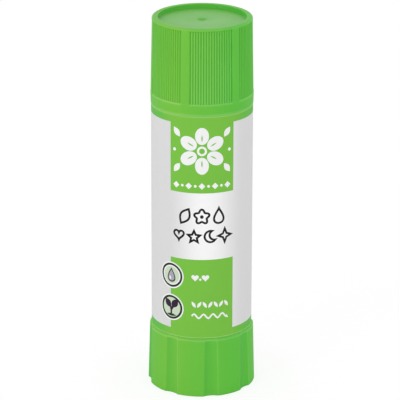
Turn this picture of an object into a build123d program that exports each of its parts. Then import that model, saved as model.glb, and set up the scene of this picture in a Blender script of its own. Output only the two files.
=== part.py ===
from build123d import *
import math
import os

# A twist-up glue stick, closed and standing on its turn knob. Lengths are in
# millimetres, +Z is up, and the origin is at the centre of the knob's foot.
# The front of the label faces -Y. Angles of place are counted from the front
# towards +X.

# Whole stick
stick_height = 96.0
knob_height = 15.4
cap_height = 22.05
edge_round = 0.3
cut_overrun = 1.0

# Barrel
barrel_radius = 12.62
barrel_wall = 1.92
neck_wall = 0.7
bead_height = 0.2
bead_width = 1.2
bead_rise = 3.0
skirt_wall = 1.2
plate_thickness = 1.5
plate_drop = 1.7
guide_rib_count = 4
guide_rib_width = 1.0
guide_rib_height = 0.4
guide_rib_end = 3.5

# Label film, wrapped once round the barrel with its lap at the back
label_thickness = 0.08
label_margin = 0.15
label_lap_width = 4.0
label_lap_turn = 180

# Turn knob
knob_rim_step = 0.52
knob_flare = 0.42
knob_rim_round = 0.55
knob_foot_round = 0.2
knob_floor = 1.3
foot_ring_width = 2.36
foot_recess_depth = 1.0
foot_dimple_radius = 1.2
foot_dimple_depth = 0.4
hub_wall = 1.8
gusset_count = 4
gusset_thickness = 1.0
gusset_height = 5.0
gusset_gap = 0.5
flute_count = 8
flute_round = 4.4
flute_rim_depth = 0.34
flute_foot_depth = 0.56
flute_turn = 10.2

# Spindle
flange_reach = 3.0
flange_thickness = 1.2
boss_step = 0.6
key_radius = 3.4
key_rise = 2.7
key_sides = 6
key_chamfer = 0.6
core_radius = 2.0
thread_height = 0.9
thread_pitch = 5.0
thread_root_width = 1.8
thread_crest_width = 1.1
thread_sink = 0.3
tip_length = 2.4
tip_flat_radius = 1.2

# Glue carrier
carrier_height = 12.0
carrier_floor = 1.5
carrier_wall = 1.15
carrier_waist_depth = 0.25
carrier_lip_width = 1.6
nut_wall = 1.05
nut_foot_lip = 0.5
nut_top_lip = 0.9
tooth_turns = 0.8
fin_count = 4
fin_thickness = 1.0
fin_height = 5.0

# Glue
glue_drop = 4.0
glue_round = 0.6
glue_over_tip = 3.5
glue_over_tip_gap = 1.0

# Cap
cap_mouth_step = 0.14
cap_belt_step = 0.08
cap_belt_height = 3.5
cap_draft = 0.38
cap_mouth_round = 0.25
cap_rim_round = 0.5
cap_rim_width = 1.51
cap_recess_depth = 0.9
cap_ceiling = 1.2
cap_headroom = 4.9
gate_radius = 1.3
gate_depth = 0.35
plug_depth = 2.0
plug_wall = 0.85
snap_groove_depth = 0.2
panel_count = 6
groove_count = 17
groove_pitch = 3
groove_width = 0.38
groove_floor_width = 0.16
rib_rim_drop = 0.05
rib_belt_drop = 0.14
groove_depth = 0.32
grip_top_drop = 0.55
panel_turn = 10.7

# Clearances of the fits
knob_gap = 0.25
skirt_clearance = 0.2
skirt_foot_gap = 0.7
thrust_clearance = 0.2
bearing_clearance = 0.1
key_clearance = 0.03
carrier_clearance = 0.12
carrier_rest_gap = 0.6
guide_clearance = 0.2
thread_clearance = 0.25
thread_side_clearance = 0.65
glue_clearance = 0.3
rod_clearance = 0.35
cap_seat_gap = 0.1
cap_clearance = 0.05
plug_clearance = 0.12
key_end_gap = 0.5

# Levels, from the foot upwards
knob_floor_top = foot_recess_depth + knob_floor
barrel_foot = knob_height + knob_gap
skirt_foot = knob_floor_top + skirt_foot_gap
plate_top = barrel_foot - plate_drop
plate_bottom = plate_top - plate_thickness
hub_top = plate_bottom - thrust_clearance
key_bottom = knob_floor_top + key_rise
socket_bottom = key_bottom - key_end_gap
flange_bottom = plate_top + thrust_clearance
flange_top = flange_bottom + flange_thickness
cap_mouth = stick_height - cap_height
cap_seat = cap_mouth - cap_seat_gap
cap_belt_level = cap_mouth + cap_belt_height
cap_grip_level = stick_height - grip_top_drop
cap_floor = stick_height - cap_recess_depth
ceiling = cap_floor - cap_ceiling
barrel_mouth = ceiling - cap_headroom
glue_top = barrel_mouth - glue_drop
spindle_top = glue_top - glue_over_tip
rod_top = spindle_top - tip_length

# Radii, from the barrel inwards and outwards
bore_radius = barrel_radius - barrel_wall
rib_inner_radius = bore_radius - guide_rib_height
carrier_radius = bore_radius - carrier_clearance
cup_radius = carrier_radius - carrier_wall
glue_radius = bore_radius - glue_clearance
skirt_radius = bore_radius + skirt_wall
knob_bore_radius = skirt_radius + skirt_clearance
knob_rim_radius = barrel_radius + knob_rim_step
knob_foot_radius = knob_rim_radius + knob_flare
foot_recess_radius = knob_foot_radius - foot_ring_width
neck_radius = bore_radius + neck_wall
neck_bead_radius = neck_radius + bead_height
cap_bore_radius = neck_bead_radius + cap_clearance
cap_mouth_radius = barrel_radius + cap_mouth_step
cap_belt_radius = cap_mouth_radius + cap_belt_step
cap_rim_radius = cap_belt_radius - cap_draft
cap_recess_radius = cap_rim_radius - cap_rim_width
plug_radius = bore_radius - plug_clearance
boss_radius = key_radius + boss_step
flange_radius = boss_radius + flange_reach
hub_radius = key_radius + hub_wall
plate_hole_radius = boss_radius + bearing_clearance

# The screw: the carrier's tooth runs midway between the turns of the spindle's thread
crest_radius = core_radius + thread_height
nut_bore_radius = crest_radius + thread_clearance
nut_radius = nut_bore_radius + nut_wall
rod_hole_radius = crest_radius + rod_clearance
tooth_crest_radius = core_radius + thread_clearance
tooth_root_width = thread_pitch - thread_crest_width - 2 * thread_side_clearance
tooth_crest_width = thread_pitch - thread_root_width - 2 * thread_side_clearance
carrier_bottom = flange_top + carrier_rest_gap
carrier_top = carrier_bottom + carrier_height
cup_floor = carrier_bottom + carrier_floor
tooth_start = carrier_bottom + nut_foot_lip + tooth_root_width / 2
tooth_end = tooth_start + tooth_turns * thread_pitch
nut_top = tooth_end + tooth_root_width / 2 + nut_top_lip
thread_start = tooth_start - thread_pitch / 2
thread_end = rod_top - thread_root_width / 2


def turned(points):
    """A solid turned about Z from a closed outline of (radius, height) points."""
    outline = Polyline([(radius, 0, height) for radius, height in points], close=True)
    return revolve(make_face(outline), Axis.Z)


def disc(radius, bottom, top):
    """A round block on the Z axis between two levels."""
    return Pos(0, 0, bottom) * extrude(Circle(radius), top - bottom)


def ring(outer, inner, bottom, top):
    """A round tube on the Z axis between two levels."""
    return disc(outer, bottom, top) - disc(inner, bottom - cut_overrun, top + cut_overrun)


def ring_edge(solid, radius, height):
    """The round edge that lies nearest a given radius and height."""
    rounds = solid.edges().filter_by(GeomType.CIRCLE)
    return min(rounds, key=lambda e: abs(e.radius - radius) + abs(e.arc_center.Z - height))


def facing(turn):
    """The angle about Z, from +X, of a place that is counted from the front."""
    return turn - 90


def radial_bars(count, width, inner, outer, bottom, top, turn=0):
    """Bars that run outwards from the Z axis, evenly spaced."""
    standing = (Align.MIN, Align.CENTER, Align.MIN)
    bar = Pos(inner, 0, bottom) * Box(outer - inner, width, top - bottom, align=standing)
    return [Rot(0, 0, turn + i * 360 / count) * bar for i in range(count)]


def helix_ridge(root_radius, crest, root_width, crest_width, start, turns):
    """A ridge of four straight sides that climbs as a left-hand screw from the +X side."""
    path = Helix(pitch=thread_pitch, height=turns * thread_pitch, radius=root_radius, lefthand=True)
    corners = [
        (root_radius, 0, -root_width / 2),
        (crest, 0, -crest_width / 2),
        (crest, 0, crest_width / 2),
        (root_radius, 0, root_width / 2),
    ]
    section = make_face(Polyline(corners, close=True))
    return Pos(0, 0, start) * sweep(section, path=path, is_frenet=True)


def make_barrel():
    bead_bottom = cap_seat + bead_rise
    bead_top = bead_bottom + bead_width
    shell = turned(
        [
            (bore_radius, skirt_foot),
            (skirt_radius, skirt_foot),
            (skirt_radius, barrel_foot),
            (barrel_radius, barrel_foot),
            (barrel_radius, cap_seat),
            (neck_radius, cap_seat),
            (neck_radius, bead_bottom),
            (neck_bead_radius, bead_bottom + bead_height),
            (neck_bead_radius, bead_top - bead_height),
            (neck_radius, bead_top),
            (neck_radius, barrel_mouth),
            (bore_radius, barrel_mouth),
            (bore_radius, plate_top),
            (plate_hole_radius, plate_top),
            (plate_hole_radius, plate_bottom),
            (bore_radius, plate_bottom),
        ]
    )
    shell = fillet(ring_edge(shell, neck_radius, barrel_mouth), edge_round)
    shell = fillet(ring_edge(shell, skirt_radius, skirt_foot), edge_round)
    rib_outer = bore_radius + guide_rib_height
    rib_top = barrel_mouth - guide_rib_end
    ribs = radial_bars(guide_rib_count, guide_rib_width, rib_inner_radius, rib_outer, plate_top, rib_top)
    return shell + ribs


def make_label():
    bottom = barrel_foot + label_margin
    top = cap_seat - label_margin
    outer = barrel_radius + label_thickness
    film = ring(outer, barrel_radius, bottom, top)
    lap_ring = ring(outer + label_thickness, outer - label_thickness / 2, bottom, top)
    lap_box = radial_bars(1, label_lap_width, 0, 2 * outer, bottom, top, facing(label_lap_turn))
    return film + (lap_ring & lap_box[0])


def flute_cutters():
    """Leaning round bars that leave the knob's hollow flutes, deeper at the foot."""
    lean = (knob_rim_radius - flute_rim_depth - knob_foot_radius + flute_foot_depth) / knob_height
    foot_place = knob_foot_radius - flute_foot_depth + flute_round
    ends = []
    for height in (-cut_overrun, knob_height + cut_overrun):
        ends.append(Pos(foot_place + lean * height, 0, height) * Circle(flute_round))
    bar = loft(ends)
    return [Rot(0, 0, facing(flute_turn) + i * 360 / flute_count) * bar for i in range(flute_count)]


def make_turn_knob():
    body = turned(
        [
            (0, foot_recess_depth),
            (foot_recess_radius, foot_recess_depth),
            (foot_recess_radius, 0),
            (knob_foot_radius, 0),
            (knob_rim_radius, knob_height),
            (knob_bore_radius, knob_height),
            (knob_bore_radius, knob_floor_top),
            (hub_radius, knob_floor_top),
            (hub_radius, hub_top),
            (0, hub_top),
        ]
    )
    body = fillet(ring_edge(body, knob_rim_radius, knob_height), knob_rim_round)
    body = fillet(ring_edge(body, knob_foot_radius, 0), knob_foot_round)
    body = body - flute_cutters()
    gusset_outer = bore_radius - gusset_gap
    gusset_top = knob_floor_top + gusset_height
    body = body + radial_bars(gusset_count, gusset_thickness, 0, gusset_outer, foot_recess_depth, gusset_top)
    socket_radius = key_radius + key_clearance
    socket = extrude(RegularPolygon(socket_radius, key_sides), hub_top - socket_bottom + cut_overrun)
    body = body - Pos(0, 0, socket_bottom) * socket
    dimple_sphere = (foot_dimple_radius**2 + foot_dimple_depth**2) / (2 * foot_dimple_depth)
    dimple_centre = foot_recess_depth + foot_dimple_depth - dimple_sphere
    return body - Pos(0, 0, dimple_centre) * Sphere(dimple_sphere)


def make_spindle():
    body = turned(
        [
            (0, hub_top),
            (boss_radius, hub_top),
            (boss_radius, flange_bottom),
            (flange_radius, flange_bottom),
            (flange_radius, flange_top),
            (core_radius, flange_top),
            (core_radius, rod_top),
            (tip_flat_radius, spindle_top),
            (0, spindle_top),
        ]
    )
    body = fillet(ring_edge(body, flange_radius, flange_top), edge_round)
    key = Pos(0, 0, key_bottom) * extrude(RegularPolygon(key_radius, key_sides), hub_top - key_bottom)
    key = chamfer(key.faces().sort_by(Axis.Z)[0].edges(), key_chamfer)
    turns = (thread_end - thread_start) / thread_pitch
    ridge = helix_ridge(
        core_radius - thread_sink, crest_radius, thread_root_width, thread_crest_width, thread_start, turns
    )
    return body + key + ridge


def carrier_blank():
    """The carrier before its screw hole is made, which is also the mould of the glue's underside."""
    waist_radius = carrier_radius - carrier_waist_depth
    cup = turned(
        [
            (0, carrier_bottom),
            (carrier_radius, carrier_bottom),
            (carrier_radius, carrier_bottom + carrier_lip_width),
            (waist_radius, carrier_bottom + carrier_lip_width + carrier_waist_depth),
            (waist_radius, carrier_top - carrier_lip_width - carrier_waist_depth),
            (carrier_radius, carrier_top - carrier_lip_width),
            (carrier_radius, carrier_top),
            (cup_radius, carrier_top),
            (cup_radius, cup_floor),
            (nut_radius, cup_floor),
            (nut_radius, nut_top),
            (0, nut_top),
        ]
    )
    fin_outer = cup_radius + carrier_wall / 2
    fin_inner = nut_radius - nut_wall / 2
    fin_turn = 180 / fin_count
    fins = radial_bars(
        fin_count, fin_thickness, fin_inner, fin_outer, carrier_bottom, cup_floor + fin_height, fin_turn
    )
    slot_width = guide_rib_width + 2 * guide_clearance
    slot_inner = rib_inner_radius - guide_clearance
    slots = radial_bars(
        guide_rib_count,
        slot_width,
        slot_inner,
        bore_radius,
        carrier_bottom - cut_overrun,
        carrier_top + cut_overrun,
    )
    return cup + fins - slots


def make_glue_carrier():
    carrier = carrier_blank() - disc(nut_bore_radius, carrier_bottom - cut_overrun, nut_top + cut_overrun)
    tooth = helix_ridge(
        nut_bore_radius + thread_sink,
        tooth_crest_radius,
        tooth_root_width,
        tooth_crest_width,
        tooth_start,
        tooth_turns,
    )
    return carrier + tooth


def make_glue_stick():
    glue = disc(glue_radius, carrier_top, glue_top)
    glue = fillet(ring_edge(glue, glue_radius, glue_top), glue_round)
    slot_width = guide_rib_width + 2 * glue_clearance
    slot_inner = rib_inner_radius - glue_clearance
    glue = glue - radial_bars(
        guide_rib_count,
        slot_width,
        slot_inner,
        bore_radius,
        carrier_top - cut_overrun,
        glue_top + cut_overrun,
    )
    glue = glue + (disc(cup_radius, cup_floor, carrier_top + cut_overrun) - carrier_blank())
    return glue - disc(rod_hole_radius, carrier_bottom, spindle_top + glue_over_tip_gap)


def cap_side_radius(height):
    """The radius of the cap's tapered side at a height between its belt and its rim."""
    share = (height - cap_belt_level) / (stick_height - cap_belt_level)
    return cap_belt_radius - cap_draft * share


def panel_recesses():
    """The shallow recesses of the cap's grip panels, whose floors carry the ribs."""
    outer = cap_belt_radius + cut_overrun
    sleeve = turned(
        [
            (cap_belt_radius - rib_belt_drop, cap_belt_level),
            (outer, cap_belt_level),
            (outer, cap_grip_level),
            (cap_side_radius(cap_grip_level) - rib_rim_drop, cap_grip_level),
        ]
    )
    half = groove_pitch * (groove_count - 1) / 2
    spread = 2 * outer / math.cos(math.radians(half))
    corners = [(0, 0)]
    for degrees in (-half, half):
        angle = math.radians(degrees)
        corners.append((spread * math.cos(angle), spread * math.sin(angle)))
    wedge = extrude(make_face(Polyline(corners, close=True)), stick_height)
    recess = sleeve & wedge
    return [Rot(0, 0, facing(panel_turn) + i * 360 / panel_count) * recess for i in range(panel_count)]


def groove_cutters():
    """The cutters of every groove in the cap's grip panels."""
    corners = [
        (cap_belt_radius + cut_overrun, -groove_width / 2, cap_belt_level),
        (cap_belt_radius, -groove_width / 2, cap_belt_level),
        (cap_belt_radius - groove_depth, -groove_floor_width / 2, cap_belt_level),
        (cap_belt_radius - groove_depth, groove_floor_width / 2, cap_belt_level),
        (cap_belt_radius, groove_width / 2, cap_belt_level),
        (cap_belt_radius + cut_overrun, groove_width / 2, cap_belt_level),
    ]
    lean_run = cap_side_radius(cap_grip_level) - cap_belt_radius
    lean = Vector(lean_run, 0, cap_grip_level - cap_belt_level)
    cutter = extrude(make_face(Polyline(corners, close=True)), lean.length, dir=lean.normalized())
    first = -groove_pitch * (groove_count - 1) / 2
    cutters = []
    for panel in range(panel_count):
        for i in range(groove_count):
            turn = facing(panel_turn) + panel * 360 / panel_count + first + i * groove_pitch
            cutters.append(Rot(0, 0, turn) * cutter)
    return cutters


def make_cap():
    plug_bottom = barrel_mouth - plug_depth
    plug_inner = plug_radius - plug_wall
    groove_bottom = cap_seat + bead_rise - bead_height
    groove_top = groove_bottom + bead_width + 2 * bead_height
    groove_radius = cap_bore_radius + snap_groove_depth
    shell = turned(
        [
            (cap_bore_radius, cap_mouth),
            (cap_mouth_radius, cap_mouth),
            (cap_belt_radius, cap_belt_level),
            (cap_rim_radius, stick_height),
            (cap_recess_radius, stick_height),
            (cap_recess_radius, cap_floor),
            (0, cap_floor),
            (0, ceiling),
            (plug_inner, ceiling),
            (plug_inner, plug_bottom),
            (plug_radius, plug_bottom),
            (plug_radius, ceiling),
            (cap_bore_radius, ceiling),
            (cap_bore_radius, groove_top),
            (groove_radius, groove_top - snap_groove_depth),
            (groove_radius, groove_bottom + snap_groove_depth),
            (cap_bore_radius, groove_bottom),
        ]
    )
    shell = fillet(ring_edge(shell, cap_rim_radius, stick_height), cap_rim_round)
    shell = fillet(ring_edge(shell, cap_mouth_radius, cap_mouth), cap_mouth_round)
    shell = shell - panel_recesses() - groove_cutters()
    gate_sphere = (gate_radius**2 + gate_depth**2) / (2 * gate_depth)
    gate_centre = cap_floor - gate_depth + gate_sphere
    return shell - Pos(0, 0, gate_centre) * Sphere(gate_sphere)


pieces = {
    "barrel": make_barrel,
    "label": make_label,
    "turn_knob": make_turn_knob,
    "spindle": make_spindle,
    "glue_carrier": make_glue_carrier,
    "glue_stick": make_glue_stick,
    "cap": make_cap,
}

os.makedirs("parts", exist_ok=True)
for node, make in pieces.items():
    export_step(make(), f"parts/{node}.step")
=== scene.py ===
import math

import bmesh
import bpy
from mathutils import Matrix, Vector
from mathutils.geometry import delaunay_2d_cdt


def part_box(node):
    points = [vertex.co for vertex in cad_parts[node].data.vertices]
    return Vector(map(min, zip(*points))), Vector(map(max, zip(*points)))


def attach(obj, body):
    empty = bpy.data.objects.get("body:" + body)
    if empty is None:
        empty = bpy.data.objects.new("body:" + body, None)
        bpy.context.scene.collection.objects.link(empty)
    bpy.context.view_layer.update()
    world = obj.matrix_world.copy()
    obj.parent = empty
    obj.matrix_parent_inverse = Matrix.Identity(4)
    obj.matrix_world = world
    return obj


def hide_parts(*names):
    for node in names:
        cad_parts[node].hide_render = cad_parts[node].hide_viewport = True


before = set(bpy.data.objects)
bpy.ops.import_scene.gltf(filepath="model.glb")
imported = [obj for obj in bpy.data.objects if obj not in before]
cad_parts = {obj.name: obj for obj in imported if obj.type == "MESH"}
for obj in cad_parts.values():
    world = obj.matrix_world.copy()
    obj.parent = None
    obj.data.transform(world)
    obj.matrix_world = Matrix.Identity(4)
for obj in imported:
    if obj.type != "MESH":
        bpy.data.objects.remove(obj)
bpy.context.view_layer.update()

# Lengths are in millimetres up to the meshes, which are in metres. Angles are
# in degrees about +Z, counted from the label's front, which faces -Y, towards +X.
MM = 0.001

# Points, rings and outlines


def lerp(a, b, t):
    return a + (b - a) * t


def clamp(value, low, high):
    return min(max(value, low), high)


def point(radius, angle, height):
    turn = math.radians(angle)
    return (radius * math.sin(turn), -radius * math.cos(turn), height)


def placed(points, u, z, turn=0.0):
    """Flat points, turned about their origin and then moved to (u, z)."""
    c, s = math.cos(math.radians(turn)), math.sin(math.radians(turn))
    return [(u + x * c - y * s, z + x * s + y * c) for x, y in points]


def arc(centre_radius, centre_height, size, start, end, steps):
    """Points of (radius, height) on an arc, with its angles counted from straight outwards to upwards."""
    points = []
    for i in range(steps + 1):
        a = math.radians(lerp(start, end, i / steps))
        points.append((centre_radius + size * math.cos(a), centre_height + size * math.sin(a)))
    return points


def dome(half_width, rise, radius):
    """The height of a shallow dome over its foot, at a radius from its middle."""
    sphere = (half_width**2 + rise**2) / (2 * rise)
    return math.sqrt(sphere**2 - radius**2) - sphere + rise


def peak(x, low, top, high):
    """Rises from 0 at low to 1 at top and falls to 0 at high."""
    return max(0, min((x - low) / (top - low), (high - x) / (high - top)))


def off_nearest(angle, first, count):
    """The angle from the nearest of count even steps round the stick. One of the steps is at first."""
    step = 360 / count
    return (angle - first + step / 2) % step - step / 2


def band(rings, closed=False):
    """Vertices and faces that join rings of points. A ring of one point is a pole."""
    vertices, starts = [], []
    for ring in rings:
        starts.append(len(vertices))
        vertices.extend(ring)
    faces = []
    for ring in range(len(rings) if closed else len(rings) - 1):
        other = (ring + 1) % len(rings)
        a, b = starts[ring], starts[other]
        count = max(len(rings[ring]), len(rings[other]))
        for i in range(count):
            j = (i + 1) % count
            if len(rings[ring]) == 1:
                faces.append((a, b + j, b + i))
            elif len(rings[other]) == 1:
                faces.append((a + i, a + j, b))
            else:
                faces.append((a + i, a + j, b + j, b + i))
    return vertices, faces


# Meshes and pieces


def new_mesh(name, vertices, faces, materials, paints=None, merge=1e-8):
    """A smooth mesh from points in millimetres. Points within merge metres become one.

    paints gives the number of each face's material.
    """
    mesh = bpy.data.meshes.new(name)
    mesh.from_pydata([tuple(c * MM for c in v) for v in vertices], [], faces)
    for material in materials:
        mesh.materials.append(material)
    if paints:
        mesh.polygons.foreach_set("material_index", paints)
    work = bmesh.new()
    work.from_mesh(mesh)
    bmesh.ops.remove_doubles(work, verts=work.verts, dist=merge)
    bmesh.ops.recalc_face_normals(work, faces=work.faces)
    work.to_mesh(mesh)
    work.free()
    mesh.shade_smooth()
    return mesh


def moulded_mesh(name, vertices, faces, materials, crease=40, painted_light=None):
    """A mesh with sharp edges where its faces meet at more than the crease's angle.

    The last argument gives the surface's painted highlight above 0 and painted shade below 0, -1 to 1,
    from a point's radius, angle and height.
    """
    mesh = new_mesh(name, vertices, faces, materials)
    mesh.set_sharp_from_angle(angle=math.radians(crease))
    if painted_light:
        # The attribute holds painted highlight above 0 and painted shade below 0.
        light_paint = mesh.attributes.new("painted_light", "FLOAT", "POINT")
        for vertex, value in zip(mesh.vertices, light_paint.data):
            x, y, z = (c / MM for c in vertex.co)
            value.value = min(1, painted_light(math.hypot(x, y), math.degrees(math.atan2(x, -y)) % 360, z))
    return mesh


def new_object(name, data):
    made = bpy.data.objects.new(name, data)
    bpy.context.scene.collection.objects.link(made)
    return made


def add_piece(mesh, body, stands_for):
    """The mesh as a piece of the same name, riding on a body in the place of a CAD node."""
    piece = new_object(mesh.name, mesh)
    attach(piece, body)
    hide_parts(stands_for)


# Materials


def grey(value):
    return (value, value, value)


def add_node(tree, kind):
    return tree.nodes.new("ShaderNode" + kind)


def feed(tree, socket, value):
    """Gives a socket a plain value or the output of another node."""
    if isinstance(value, bpy.types.NodeSocket):
        tree.links.new(value, socket)
    else:
        socket.default_value = value


def noise(tree, where, scale, detail):
    node = add_node(tree, "TexNoise")
    node.inputs["Scale"].default_value = scale
    node.inputs["Detail"].default_value = detail
    tree.links.new(where, node.inputs["Vector"])
    return node.outputs["Fac"]


def remap(tree, value, from_low, from_high, to_low, to_high):
    node = add_node(tree, "MapRange")
    limits = {"From Min": from_low, "From Max": from_high, "To Min": to_low, "To Max": to_high}
    for socket, limit in limits.items():
        node.inputs[socket].default_value = limit
    tree.links.new(value, node.inputs["Value"])
    return node.outputs["Result"]


def math_result(tree, operation, first, second):
    node = add_node(tree, "Math")
    node.operation = operation
    feed(tree, node.inputs[0], first)
    feed(tree, node.inputs[1], second)
    return node.outputs[0]


def mixed(tree, factor, a, b, blend="MIX"):
    """Two colours mixed by a factor."""
    node = add_node(tree, "Mix")
    node.data_type, node.blend_type = "RGBA", blend
    colours = [socket for socket in node.inputs if socket.type == "RGBA"]
    for socket, value in zip((node.inputs["Factor"], *colours), (factor, a, b)):
        feed(tree, socket, value)
    return next(socket for socket in node.outputs if socket.type == "RGBA")


def paint_light_and_shade(tree, paint, patches, painted_highlight, painted_shade):
    """The paint, paler as a painted highlight where the mesh's painted light is above 0 and fuller as a
    painted shade where it is below 0.
    """
    painted_light = add_node(tree, "Attribute")
    painted_light.attribute_name = "painted_light"
    share = math_result(tree, "MULTIPLY", painted_light.outputs["Fac"], remap(tree, patches, 0.25, 0.65, 0.7, 1))
    paint = mixed(tree, share, paint, (*painted_highlight, 1.0))
    return mixed(tree, remap(tree, painted_light.outputs["Fac"], 0, -1, 0, 1), paint, (*painted_shade, 1.0))


def paint_light_by_angle(tree, paint, where, painted_tints):
    """The paint times a tint of painted light and shade that changes softly with the angle round the stick.
    """
    split, ramp = add_node(tree, "SeparateXYZ"), add_node(tree, "ValToRGB")
    tree.links.new(where, split.inputs[0])
    forwards = math_result(tree, "MULTIPLY", split.outputs["Y"], -1)
    turn = math_result(tree, "ARCTAN2", split.outputs["X"], forwards)
    ramp.color_ramp.interpolation = "EASE"
    stops = ramp.color_ramp.elements
    while len(stops) < len(painted_tints):
        stops.new(0.5)
    for stop, (angle, tone) in zip(stops, painted_tints):
        stop.position = 0.5 + angle / 360
        stop.color = (*tone, 1)
    tree.links.new(remap(tree, turn, -math.pi, math.pi, 0, 1), ramp.inputs["Fac"])
    return mixed(tree, 1.0, paint, ramp.outputs["Color"], "MULTIPLY")


def material(name, colour, spread=0.03, rough=(0.3, 0.4), grain=3000, bump=0.000004, patch=140,
             painted_highlight=None, painted_shade=None, painted_tints=None, **sockets):
    """A moulded or printed surface: soft patches in its colour and gloss, and a fine grain.

    Its painted highlight is a paler colour on raised edges and its painted shade a fuller one in hollows,
    by the mesh's painted light. The (angle, colour) pairs are painted light and shade round the stick.
    """
    m = bpy.data.materials.new(name)
    m.use_nodes = True
    tree = m.node_tree
    shader = tree.nodes["Principled BSDF"]
    where = add_node(tree, "TexCoord").outputs["Object"]
    patches, fine = noise(tree, where, patch, 3), noise(tree, where, grain, 2)
    low = (*[c * (1 - spread) for c in colour], 1.0)
    high = (*[min(1, c * (1 + spread)) for c in colour], 1.0)
    paint = mixed(tree, patches, low, high)
    if painted_highlight:
        paint = paint_light_and_shade(tree, paint, patches, painted_highlight, painted_shade)
    if painted_tints:
        paint = paint_light_by_angle(tree, paint, where, painted_tints)
    tree.links.new(paint, shader.inputs["Base Color"])
    tree.links.new(remap(tree, patches, 0.3, 0.7, *rough), shader.inputs["Roughness"])
    relief = add_node(tree, "Bump")
    relief.inputs["Strength"].default_value = 1
    relief.inputs["Distance"].default_value = bump
    tree.links.new(fine, relief.inputs["Height"])
    tree.links.new(relief.outputs["Normal"], shader.inputs["Normal"])
    for socket, value in sockets.items():
        shader.inputs[socket.replace("_", " ")].default_value = value
    return m


GREEN, POLISHED = (0.138, 0.535, 0.045), (0.13, 0.52, 0.045)
# A paler green for painted highlights on edges and a fuller green for painted shade in hollows.
PAINTED_HIGHLIGHT_GREEN, PAINTED_SHADE_GREEN = (0.26, 0.62, 0.13), (0.075, 0.47, 0.045)
PAPER = 0.93
# Painted shade and highlight: the film is painted pale grey at its sides and back, clearing softly to white
# at the front.
FILM_PAINTED_LIGHT = [(-180, 0.777), (-41, 0.777), (4, 1.06), (54, 0.805), (180, 0.777)]
# Painted light: the moulded green is painted warmer on the lit side at smaller angles and cooler on the
# shaded side.
GREEN_PAINTED_LIGHT = [
    (-180, (1, 1.03, 1)), (-85, (1.0, 1.02, 1)), (-34, (1.24, 1.03, 1.05)), (6, (1.02, 1.03, 1.05)),
    (38, (0.84, 1.04, 1.05)), (90, (0.84, 1.05, 0.95)), (180, (1, 1.03, 1)),
]
# Painted shade: the label's green is painted darker and cooler away from the front.
INK_PAINTED_SHADE = [
    (-180, (0.7, 0.95, 1)), (-76, (0.57, 0.9, 1)), (-58, (0.65, 0.97, 1)), (-33, (1, 1, 1)), (36, (1, 1, 1)),
    (60, (0.66, 0.97, 1)), (76, (0.57, 0.9, 1)), (180, (0.7, 0.95, 1)),
]


def satin_green(name):
    """The moulded green plastic that the cap, the knob and the barrel share."""
    return material(
        name, GREEN, rough=(0.42, 0.52), painted_highlight=PAINTED_HIGHLIGHT_GREEN, painted_shade=PAINTED_SHADE_GREEN, painted_tints=GREEN_PAINTED_LIGHT,
        IOR=1.49, Specular_IOR_Level=0.25,
    )


def film(name, colour, spread, painted_tints=None, **sockets):
    """The label's smooth film."""
    return material(
        name, colour, spread, rough=(0.42, 0.5), grain=5000, bump=0.0000015, painted_tints=painted_tints,
        IOR=1.5, **sockets,
    )


def ink(name, colour, spread=0.015, painted_tints=None):
    """A print on the film, less glossy than the bare film is."""
    return film(name, colour, spread, painted_tints, Specular_IOR_Level=0.2)


cap_green = satin_green("cap_green")
cap_polished = material("cap_polished", POLISHED, painted_highlight=PAINTED_HIGHLIGHT_GREEN, painted_shade=PAINTED_SHADE_GREEN, IOR=1.49, Specular_IOR_Level=0.31)
knob_green = satin_green("knob_green")
barrel_green = satin_green("barrel_green")
label_inks = [
    film("film_white", grey(PAPER), 0.01, [(angle, grey(tone)) for angle, tone in FILM_PAINTED_LIGHT]),
    ink("ink_green", (0.195, 0.548, 0.056), painted_tints=INK_PAINTED_SHADE),
    ink("ink_white", grey(PAPER), 0.01),
    ink("ink_black", (0.012, 0.012, 0.014)),
    ink("ink_dark", (0.02, 0.035, 0.025)),
    ink("ink_plum", (0.03, 0.012, 0.04)),
    ink("ink_grey", (0.42, 0.4, 0.48)),
    ink("ink_pale", (0.62, 0.73, 0.55)),
    # A paler green, a painted highlight along the film's cut edges
    ink("ink_painted_highlight", (0.3, 0.65, 0.14)),
    ink("film_edge", (0.8, 0.8, 0.78)),
]
glue_white = material(
    "glue_white", (0.9, 0.895, 0.86), spread=0.015, rough=(0.32, 0.5), grain=900, bump=0.00003, patch=260,
    IOR=1.45, Subsurface_Weight=0.25, Subsurface_Scale=0.002,
)
inner_white = material("inner_white", (0.84, 0.85, 0.84), spread=0.02, rough=(0.35, 0.45), IOR=1.49)

# Levels and radii that several parts share, from the CAD solids in the frame


def foot_of(node):
    return round(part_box(node)[0].z / MM, 3)


def top_of(node):
    return round(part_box(node)[1].z / MM, 3)


def radius_of(node):
    return round(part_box(node)[1].x / MM, 3)


STICK_TOP, CAP_FOOT = top_of("cap"), foot_of("cap")
BARREL_MOUTH, SKIRT_FOOT = top_of("barrel"), foot_of("barrel")
# These reach a little further than the solids do, so that only fine lines show between the parts.
KNOB_TOP = top_of("turn_knob") + 0.16
BARREL_FOOT, FILM_LOW = KNOB_TOP + 0.02, KNOB_TOP + 0.04
CAP_SEAT, FILM_HIGH = CAP_FOOT - 0.01, CAP_FOOT - 0.02

BARREL_R = radius_of("barrel")
BORE_R = BARREL_R - 1.92
NECK_R = BORE_R + 0.7
SKIRT_R = BORE_R + 1.2
PLATE_HIGH = top_of("turn_knob") - 1.45
PLATE_LOW = PLATE_HIGH - 1.5
PLATE_HOLE_R = 4.1

# Cap

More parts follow.
